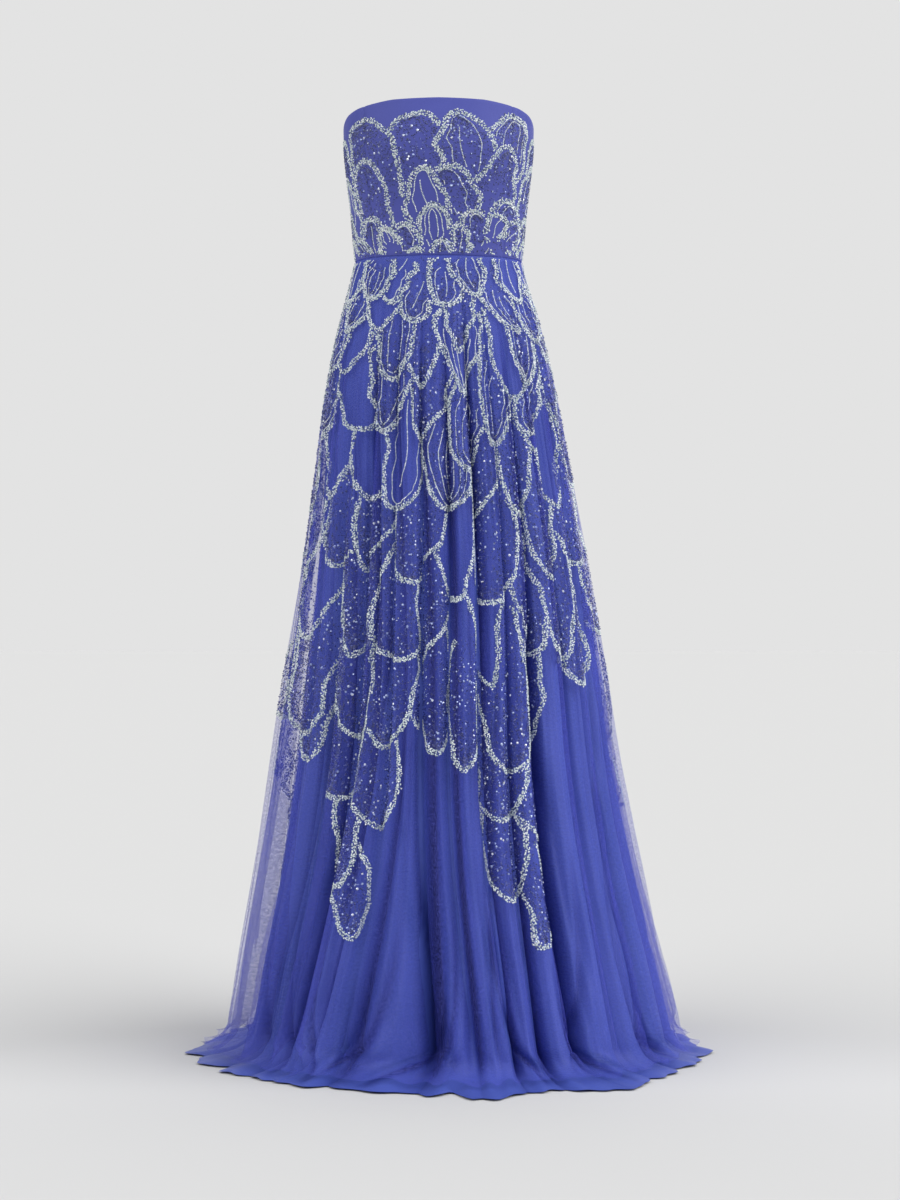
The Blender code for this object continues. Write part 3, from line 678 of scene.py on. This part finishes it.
def new_leaf(field, draw, share, tips, length, width, lean, aside, tip_power=None):
    """A leaf; tips are its row's tip and its own."""
    tip, end = tips
    return {
        "share": share - aside * length * math.sin(lean) / field.girth(tip),
        "far": end - length * math.cos(lean),
        "length": length,
        "width": width,
        "lean": lean,
        "bend": LEAF_BEND * draw.uniform(-1, 1),
        "tip_power": tip_power or draw.uniform(*LEAF_TIP_POWERS),
        "edges": 1 + LEAF_EDGE_JITTER * draw.uniform(-1, 1, (2, LEAF_EDGE_KNOTS)),
    }


def leaves_on(field, rows, seed, fan, limit=None, neckline=False):
    """Leaves in uneven rows along a field, the ones that lie on top first."""
    draw = np.random.RandomState(seed)
    leaves = []
    starts = draw.rand(len(ROW_WAVES))
    for number, (tip, length, width) in enumerate(rows):
        count = int(round(field.girth(max(tip - LEAF_WIDEST * length, 0)) / (LEAF_SPACING * width)))
        row = []
        for k in range(count):
            jitter = draw.uniform(-1, 1, 5)
            share = (k + 0.5 * (number % 2) + LEAF_ASIDE * jitter[0]) / count
            angle = (share % 1) * 360 - 180
            off = math.sin(math.radians(angle - FAN_FROM_DEG))
            lean = LEAF_LEAN * jitter[1] + fan * off / (1 + FAN_SETTLES * number)
            wave = 0
            for (turns, size), start in zip(ROW_WAVES, starts):
                wave += size * math.sin(TURN * (turns * share + start))
            end = tip + TIP_SPREAD * jitter[2]
            if limit is not None:
                end += wave * min(1, tip / WAVES_FULL_FROM)
                if end > read_table(limit, angle) + PAST_LIMIT:
                    continue
            if neckline:
                least, spread = BODICE_TIP_CLEAR
                end += BODICE_WAVE_SHARE * wave
                end = min(end, neckline_height(angle) - NECKLINE_MARGIN - least - spread * draw.rand())
            size = length * (1 + LENGTH_SPREAD * jitter[3])
            wide = width * (1 + WIDTH_SPREAD * jitter[4])
            leaf = new_leaf(field, draw, share, (tip, end), size, wide, lean, ROW_LEAF_SHIFT)
            filled = draw.rand() > UNFILLED_SHARE or (neckline and number == len(rows) - 1)
            leaf.update(filled=filled, row=number)
            row.append(leaf)
        leaves += [row[k] for k in draw.permutation(len(row))]
    return leaves


def single_leaves(field, table, seed):
    """Leaves that hang one by one, in the order in which they lie."""
    draw = np.random.RandomState(seed)
    leaves = []
    for angle, tip, length, width, lean_deg, tip_power in table:
        lean = math.radians(lean_deg)
        share = (angle + 180) / 360
        form = (length, width, lean, SINGLE_LEAF_SHIFT, tip_power)
        leaf = new_leaf(field, draw, share, (tip, tip), *form)
        leaves.append(leaf | {"filled": True, "row": len(SKIRT_LEAF_ROWS)})
    return leaves


def even_steps(x, y, step):
    """The points of a line, taken again at even steps."""
    arc = np.concatenate([[0], np.cumsum(np.hypot(np.diff(x), np.diff(y)))])
    where = np.arange(0, arc[-1], step)
    return np.interp(where, arc, x), np.interp(where, arc, y)


def softened(values, times=3):
    """A line's values with its corners eased; the ends stay."""
    for _ in range(times):
        eased = (values[:-2] + 2 * values[1:-1] + values[2:]) / 4
        values = np.concatenate([values[:1], eased, values[-1:]])
    return values


def near_each_other(field, one, other):
    """Whether two leaves may touch."""
    gap = abs((one["share"] - other["share"] + 0.5) % 1 - 0.5) * field.girth(one["far"] + one["length"] / 2)
    return gap < LEAVES_APART * (one["length"] + other["length"])


def clear_of(field, upper, share, far, margin):
    """Which points are not hidden under the leaves that lie on top."""
    shown = np.ones(len(share), bool)
    for leaf in upper:
        shown &= ~inside_leaf(field, leaf, share, far, margin)
    return shown


def leaf_beads(field, leaves, seed, allowed, line_chances, fill_per_m2):
    """Beads of all the leaves in cloth coordinates: outlines, thin lines, fill and crystals."""
    draw = np.random.RandomState(seed)
    found = {"band": [], "line": [], "fill": [], "crystal": []}

    def keep(kind, x, y):
        share, far = leaf_to_cloth(field, leaf, x, y)
        shown = clear_of(field, upper, share, far, CLEAR_OF_UPPER[kind]) & allowed(share, far)
        found[kind].append(np.stack([share[shown], far[shown]], axis=1))

    for number, leaf in enumerate(leaves):
        upper = [other for other in leaves[:number] if near_each_other(field, leaf, other)]
        length, width = leaf["length"], leaf["width"]
        left, right = leaf_sides(leaf, OUTLINE_SHARES)
        x = np.concatenate([-left, right[::-1]])
        y = np.concatenate([OUTLINE_SHARES, OUTLINE_SHARES[::-1]]) * length
        x, y = even_steps(x, y, OUTLINE_STEP)
        x, y = softened(x), softened(y)
        slope_x, slope_y = np.gradient(x), np.gradient(y)
        steep = np.hypot(slope_x, slope_y) + 1e-9
        for offset in BAND_OFFSETS:
            inward = offset + BAND_OFFSETS[-1] + BAND_INSET
            bx, by = even_steps(x + slope_y / steep * inward, y - slope_x / steep * inward, BAND_STEP)
            bx = bx + draw.normal(0, BAND_SCATTER, len(bx))
            by = by + draw.normal(0, BAND_SCATTER, len(by))
            keep("band", bx, by)
        if draw.rand() < line_chances[leaf["row"]]:
            style = draw.randint(len(LINE_STYLES))
            if style in MIDDLE_LINE_STYLES:
                ly = MIDDLE_LINE_SHARES * length
                lx = MIDDLE_LINE_SWING * width * np.sin(TURN * (ly / length + draw.rand()))
                keep("line", *even_steps(lx, ly, LINE_STEP))
            for shrink in LINE_STYLES[style]:
                lift = length * 0.5 * (1 - shrink)
                shorter = LINE_LENGTH_KEPT + (1 - LINE_LENGTH_KEPT) * shrink
                keep("line", *even_steps(x * shrink, lift + y * shorter, LINE_STEP))
        if leaf["filled"]:
            area = FILLED_AREA_SHARE * width * length
            count = int(area * fill_per_m2)
            fs = draw.rand(count) ** FILL_TO_TIP
            aside = 2 * draw.rand(count) - 1
            aside = np.sign(aside) * np.abs(aside) ** FILL_TO_EDGE
            half = np.where(aside < 0, *leaf_sides(leaf, fs)) - FILL_INSET
            fx = aside * np.maximum(half, 0)
            keep("fill", fx[half > 0], (fs * (length - FILL_OFF_TIP))[half > 0])
            count = int(area * CRYSTALS_PER_M2) + 1
            fs = draw.uniform(*CRYSTALS_ALONG, count)
            half = np.minimum(*leaf_sides(leaf, fs))
            fx = draw.uniform(-CRYSTALS_ACROSS, CRYSTALS_ACROSS, count) * half
            keep("crystal", fx, fs * length)
    return {kind: np.concatenate(rows) for kind, rows in found.items()}


def bead_mesh(name, centres, normals, radii, tints, sides, height, finish, smooth, seed):
    """One mesh of small domed beads with a few sides each, seated on the cloth."""
    draw = np.random.RandomState(seed)
    count = len(centres)
    aside = unit(np.cross(normals, draw.normal(0, 1, (count, 3))))
    other = np.cross(normals, aside)
    size = radii[:, None]
    corners = [centres + normals * size * height]
    for k in range(sides):
        turn = TURN * k / sides
        out = aside * math.cos(turn) + other * math.sin(turn)
        corners.append(centres + out * size + normals * size * BEAD_RIM_HEIGHT)
    corners = np.stack(corners, axis=1)
    rim = np.arange(sides)
    fan = np.stack([0 * rim, 1 + rim, 1 + (rim + 1) % sides], axis=1)
    faces = (np.arange(count)[:, None, None] * (sides + 1) + fan[None]).reshape(-1, 3)
    obj = mesh_object(name, corners.reshape(-1, 3), faces, smooth)
    set_values(obj, "tint", np.repeat(tints, sides + 1))
    return dressed(obj, finish, None)


# Materials


def new_material(name):
    made = bpy.data.materials.new(name)
    made.use_nodes = True
    return made, made.node_tree.nodes, made.node_tree.links, made.node_tree.nodes["Principled BSDF"]


def set_inputs(node, **inputs):
    for key, value in inputs.items():
        node.inputs[key.replace("_", " ")].default_value = value
    return node


def add_node(nodes, kind, **inputs):
    return set_inputs(nodes.new("ShaderNode" + kind), **inputs)


def ramp(nodes, links, factor, stops):
    """A colour that runs through the stops as the factor goes from 0 to 1."""
    node = add_node(nodes, "ValToRGB")
    elements = node.color_ramp.elements
    while len(elements) < len(stops):
        elements.new(0.5)
    for element, (position, colour) in zip(elements, stops):
        element.position = position
        element.color = (*colour, 1)
    links.new(factor, node.inputs["Fac"])
    return node.outputs["Color"]


def add_bump(nodes, links, shader, height, strength, distance):
    bump = add_node(nodes, "Bump", Strength=strength, Distance=distance)
    links.new(height, bump.inputs["Height"])
    links.new(bump.outputs["Normal"], shader.inputs["Normal"])


def multiplied(nodes, links, colour, factor, by):
    """A colour, multiplied by another as far as the factor says."""
    mix = add_node(nodes, "Mix")
    mix.data_type = "RGBA"
    mix.blend_type = "MULTIPLY"
    mix.inputs["B"].default_value = (*by, 1)
    links.new(factor, mix.inputs["Factor"])
    links.new(colour, mix.inputs["A"])
    return mix.outputs["Result"]


def cloth_material(name, dark, light, roughness, weave, bump_height, sheen, alpha=None, painted_fold_shade=None):
    """Cloth with soft shifts of colour and a fine weave; alpha is (lowest, highest).

    Painted shade: where the cloth lies in a deep fold or crease, or near the hem, its colour is multiplied
    by the painted shade colour given as the last argument.
    """
    made, nodes, links, shader = new_material(name)
    uv = add_node(nodes, "UVMap")
    uv.uv_map = "cloth"
    broad = add_node(nodes, "TexNoise", Scale=9.0, Detail=3.0, Roughness=0.55)
    links.new(uv.outputs["UV"], broad.inputs["Vector"])
    colour = ramp(nodes, links, broad.outputs["Fac"], [(0.25, dark), (0.75, light)])
    # Painted shade: the colour is multiplied towards the shade colour by the point value fold
    if painted_fold_shade:
        fold = add_node(nodes, "Attribute")
        fold.attribute_name = "fold"
        colour = multiplied(nodes, links, colour, fold.outputs["Fac"], painted_fold_shade)
    mesh = add_node(nodes, "TexVoronoi", Scale=weave, Randomness=0.45)
    mesh.feature = "DISTANCE_TO_EDGE"
    links.new(uv.outputs["UV"], mesh.inputs["Vector"])
    thread = add_node(nodes, "MapRange", From_Max=0.20, To_Min=1.0, To_Max=0.0)
    links.new(mesh.outputs["Distance"], thread.inputs["Value"])
    colour = multiplied(nodes, links, colour, thread.outputs["Result"], THREAD_TONE)
    links.new(colour, shader.inputs["Base Color"])
    add_bump(nodes, links, shader, mesh.outputs["Distance"], 0.35, bump_height)
    set_inputs(shader, Roughness=roughness, Specular_IOR_Level=0.25)
    set_inputs(shader, Sheen_Weight=sheen, Sheen_Roughness=0.45, Sheen_Tint=SHEEN_TINT)
    if alpha:
        grain = add_node(nodes, "TexNoise", Scale=weave * 0.42, Detail=1.0, Roughness=0.6)
        links.new(uv.outputs["UV"], grain.inputs["Vector"])
        thick = add_node(nodes, "MapRange", From_Min=0.33, From_Max=0.67)
        set_inputs(thick, To_Min=alpha[0], To_Max=alpha[1])
        links.new(grain.outputs["Fac"], thick.inputs["Value"])
        links.new(thick.outputs["Result"], shader.inputs["Alpha"])
    return made


def bead_material(name, stops, roughness, metallic, coat):
    """Glass beads in the colours of a ramp over each bead's tint."""
    made, nodes, links, shader = new_material(name)
    tint = add_node(nodes, "Attribute")
    tint.attribute_name = "tint"
    links.new(ramp(nodes, links, tint.outputs["Fac"], stops), shader.inputs["Base Color"])
    set_inputs(shader, Roughness=roughness, Metallic=metallic, Coat_Weight=coat, Coat_Roughness=0.08)
    return made


def tape_material(name, dark, light):
    """Woven tape with a fine rib across it."""
    made, nodes, links, shader = new_material(name)
    position = add_node(nodes, "TexCoord")
    rib = add_node(nodes, "TexWave", Scale=420.0, Distortion=1.5, Detail=2.0)
    rib.bands_direction = "Z"
    links.new(position.outputs["Object"], rib.inputs["Vector"])
    tone = ramp(nodes, links, rib.outputs["Fac"], [(0.2, dark), (0.8, light)])
    links.new(tone, shader.inputs["Base Color"])
    add_bump(nodes, links, shader, rib.outputs["Fac"], 0.4, 0.0003)
    set_inputs(shader, Roughness=0.8)
    return made


def metal_material(name, colour, metallic=0.7):
    """Enamelled metal or moulded plastic, rubbed lighter in places."""
    made, nodes, links, shader = new_material(name)
    position = add_node(nodes, "TexCoord")
    rub = add_node(nodes, "TexNoise", Scale=900.0, Detail=3.0)
    links.new(position.outputs["Object"], rub.inputs["Vector"])
    rubbed = tuple(min(1, 1.35 * c) for c in colour)
    worn = ramp(nodes, links, rub.outputs["Fac"], [(0.35, colour), (0.8, rubbed)])
    links.new(worn, shader.inputs["Base Color"])
    set_inputs(shader, Roughness=0.32, Metallic=metallic)
    return made


THREAD_TONE = (0.76, 0.78, 0.87)
SHEEN_TINT = (0.75, 0.78, 1.0, 1)
BODICE_CLOTH = cloth_material(
    "bodice_cloth",
    (0.076, 0.089, 0.375), (0.095, 0.110, 0.435),
    roughness=0.60, weave=900.0, bump_height=0.0003, sheen=0.10,
)
# The lining and the net darken in deep folds and creases, and towards the hem, by a painted shade colour
LINING_CLOTH = cloth_material(
    "lining_cloth",
    (0.062, 0.099, 0.415), (0.083, 0.122, 0.492),
    roughness=0.50, weave=1400.0, bump_height=0.0002, sheen=0.03, painted_fold_shade=(0.24, 0.29, 0.46),
)
OVERLAY_NET = cloth_material(
    "overlay_net",
    (0.090, 0.108, 0.60), (0.118, 0.138, 0.69),
    roughness=0.70, weave=700.0, bump_height=0.0003, sheen=0.03,
    alpha=(0.15, 0.36), painted_fold_shade=(0.46, 0.50, 0.64),
)
BAND_BEADS = bead_material(
    "band_beads",
    [
        (0.0, (0.040, 0.055, 0.150)),
        (0.15, (0.200, 0.250, 0.340)),
        (0.32, (0.500, 0.600, 0.615)),
        (0.72, (0.720, 0.805, 0.800)),
        (1.0, (0.930, 0.950, 0.950)),
    ],
    roughness=0.25, metallic=0.0, coat=0.5,
)
FILL_BEADS = bead_material(
    "fill_beads",
    [(0.0, (0.010, 0.016, 0.095)), (0.7, (0.028, 0.040, 0.230)), (1.0, (0.150, 0.190, 0.560))],
    roughness=0.18, metallic=0.1, coat=0.8,
)
CRYSTALS = bead_material(
    "crystals",
    [(0.0, (0.230, 0.290, 0.640)), (0.6, (0.420, 0.510, 0.800)), (1.0, (0.880, 0.910, 0.980))],
    roughness=0.06, metallic=0.3, coat=1.0,
)
ZIP_METAL = metal_material("zip_metal", (0.10, 0.11, 0.30))
ZIP_TAPE = tape_material("zip_tape", (0.050, 0.065, 0.27), (0.075, 0.092, 0.35))
ZIP_TEETH = metal_material("zip_teeth", (0.075, 0.090, 0.33), metallic=0.0)

# Cloth
bodice = [bodice_panel(name, first, last, BODICE_CLOTH) for name, first, last in BODICE_PANELS]
# Each layer's columns to a fold, rows, material and slot
SKIRT_LAYERS = {
    "overlay": (24, 100, OVERLAY_NET, "overlay_net"),
    "lining": (22, 90, LINING_CLOTH, "lining_cloth"),
}
for part, before_first, before_last in SKIRT_PANELS:
    for layer, made_of in SKIRT_LAYERS.items():
        skirt_panel(layer, part, before_first, before_last, *made_of)

# Beadwork


def overlay_point(u, t):
    return skirt_point("overlay", u, t)


def bodice_allowed(share, far):
    """Above the waist seam, below the neckline, and off the zip."""
    angle = (share % 1) * 360 - 180
    off_zip = (180 - np.abs(angle)) > BODICE_OFF_ZIP
    return (far > BODICE_OFF_WAIST) & (far < neckline_height(angle) - NECKLINE_MARGIN) & off_zip


def skirt_allowed(share, far):
    """Below the waist seam, above the hem, and off the zip."""
    angle = (share % 1) * 360 - 180
    near_zip = (180 - np.abs(angle) < SKIRT_OFF_ZIP) & (far < ZIP_BELOW_WAIST)
    return (far > SKIRT_OFF_WAIST) & (far < SKIRT_BEADS_END) & ~near_zip


bodice_heights = np.linspace(0.0, 0.226, 60)
BODICE_FIELD = Field(bodice_at_height, -180.0, 180.0, bodice_heights, far=bodice_heights)
SKIRT_FIELD = Field(overlay_point, -0.5, len(FOLDS) - 0.5, np.linspace(0, LAST_ROW, 260))

bodice_leaves = leaves_on(BODICE_FIELD, BODICE_LEAF_ROWS, 21, BODICE_FAN, neckline=True)
skirt_leaves = leaves_on(SKIRT_FIELD, SKIRT_LEAF_ROWS, 22, SKIRT_FAN, limit=LEAF_LIMIT)
skirt_leaves += single_leaves(SKIRT_FIELD, LOW_LEAVES, 23)
bodice_beads = leaf_beads(
    BODICE_FIELD, bodice_leaves, 31, bodice_allowed, BODICE_LINE_CHANCES, BODICE_FILL_PER_M2
)
skirt_beads = leaf_beads(
    SKIRT_FIELD, skirt_leaves, 32, skirt_allowed, SKIRT_LINE_CHANCES, SKIRT_FILL_PER_M2
)

# Beads: radius, the smallest one's share of it, lowest tint, sides, height over radius, material, smooth
BEAD_KINDS = {
    "band": (0.00125, 0.82, 0.0, 6, 1.25, BAND_BEADS, True),
    "line": (0.00105, 0.82, 0.45, 5, 1.30, BAND_BEADS, True),
    "fill": (0.00118, 0.82, 0.0, 4, 1.30, FILL_BEADS, True),
    "crystal": (0.0019, 0.58, 0.0, 6, 0.90, CRYSTALS, False),
}
LARGEST_BEAD = 1.12
# Each area's field and beads, and its pieces in order round from the centre back
BEAD_AREAS = {
    "bodice": (BODICE_FIELD, bodice_beads, ("",)),
    "skirt": (SKIRT_FIELD, skirt_beads, ("_back_right", "_front_right", "_front_left", "_back_left")),
}


def sew_beads():
    for area, (field, beads, parts) in BEAD_AREAS.items():
        for kind, (radius, smallest, tint_from, *form) in BEAD_KINDS.items():
            share, far = beads[kind].T
            for number, suffix in enumerate(parts):
                here = np.floor((share % 1) * len(parts)) == number
                points, normals = field.place(share[here], far[here])
                draw = np.random.RandomState(100 * number + len(kind))
                radii = radius * draw.uniform(smallest, LARGEST_BEAD, len(points))
                tints = draw.rand(len(points)) * (1 - tint_from) + tint_from
                name = f"{area}_{kind}_beads{suffix}"
                bead_mesh(name, points, normals, radii, tints, *form, number + 1)


sew_beads()

# Zip


def zip_teeth(finish):
    """The fine teeth of the closed chain, as short bars side by side down the slit."""
    heights = np.arange(-ZIP_BELOW_WAIST + 0.002, NECKLINE[-1][1] - ZIP_TOP_INSET - 0.001, TOOTH_PITCH)
    rows = np.linspace(0, ZIP_CLOSED_ROW, ZIP_POINTS)
    seam = overlay_point(np.full(ZIP_POINTS, len(FOLDS) - 0.5), rows)
    above = bodice_at_height(np.full(len(heights), 180.0), np.maximum(heights, 0))
    below = np.stack([np.interp(-heights, -seam[:, 2], seam[:, k]) for k in range(3)], axis=1)
    middle = np.where((heights > 0)[:, None], above, below)
    half = (zip_gap(heights) - TOOTH_CLEAR)[:, None]
    side = np.where(np.arange(len(heights)) % 2, 1.0, -1.0)[:, None]
    ring = []
    for x in (-1, 1):
        for a in np.linspace(0, math.pi, TOOTH_ARC):
            reach = half * (x * TOOTH_FILLS + TOOTH_STAGGER * side)
            out = middle[:, [1]] - TOOTH_SET_BACK + TOOTH_RADIUS * math.sin(a)
            up = heights[:, None] + TOOTH_RADIUS * math.cos(a)
            ring.append(np.concatenate([middle[:, [0]] + reach, out, up], axis=1))
    points = np.stack(ring, axis=1)
    bar = grid_faces(2, TOOTH_ARC)
    faces = (np.arange(len(heights))[:, None, None] * 2 * TOOTH_ARC + bar[None]).reshape(-1, 4)
    return dressed(mesh_object("zip_teeth", points.reshape(-1, 3), faces), finish, None)


zip_teeth(ZIP_TEETH)
for name, finish in (("back_zip", ZIP_TAPE), ("zip_slider", ZIP_METAL), ("zip_pull", ZIP_METAL)):
    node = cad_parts[name]
    node.data.materials.clear()
    node.data.materials.append(finish)

# Stage, light and camera
SENSOR = 36.0
LENS = 77.2
CAMERA_AT = (0.017, -3.84, 0.672 - WAIST_ABOVE_FLOOR)
FLOOR_TONE = (0.589, 0.589, 0.588, 1)
BACKDROP = 0.768
AMBIENT = 0.18
# Suns: name, strength, azimuth from the front in degrees, elevation and spread
SUNS = (
    ("key_right", 2.72, 64, 40, 60),
    ("key_left", 1.60, -60, 40, 60),
    ("back", 1.15, 172, 42, 80),
)


def make_stage():
    scene = bpy.context.scene
    scene.view_settings.view_transform = "Standard"
    scene.view_settings.look = "None"
    world = bpy.data.worlds.new("studio")
    world.use_nodes = True
    nodes, links = world.node_tree.nodes, world.node_tree.links
    background = nodes["Background"]
    seen = add_node(nodes, "LightPath")
    level = add_node(nodes, "MapRange", To_Min=AMBIENT, To_Max=BACKDROP)
    links.new(seen.outputs["Is Camera Ray"], level.inputs["Value"])
    links.new(level.outputs["Result"], background.inputs["Strength"])
    set_inputs(background, Color=(1, 1, 1, 1))
    scene.world = world
    bpy.ops.mesh.primitive_plane_add(size=60, location=(0, 0, -WAIST_ABOVE_FLOOR))
    floor = bpy.context.object
    floor.name = "studio_floor"
    made, nodes, links, shader = new_material("studio_floor")
    set_inputs(shader, Base_Color=FLOOR_TONE, Roughness=1.0, Specular_IOR_Level=0.0)
    floor.data.materials.append(made)
    for name, strength, azimuth, elevation, spread in SUNS:
        sun = bpy.data.lights.new(name, "SUN")
        sun.energy = strength
        sun.angle = math.radians(spread)
        lamp = bpy.data.objects.new(name, sun)
        a, e = math.radians(azimuth), math.radians(elevation)
        toward = Vector((math.cos(e) * math.sin(a), -math.cos(e) * math.cos(a), math.sin(e)))
        lamp.rotation_euler = (-toward).to_track_quat("-Z", "Y").to_euler()
        scene.collection.objects.link(lamp)
    camera = bpy.data.cameras.new("camera")
    camera.sensor_width = SENSOR
    camera.lens = LENS
    camera.clip_end = 200
    holder = bpy.data.objects.new("camera", camera)
    holder.location = CAMERA_AT
    holder.rotation_euler = (math.pi / 2, 0, 0)
    scene.collection.objects.link(holder)
    scene.camera = holder


make_stage()
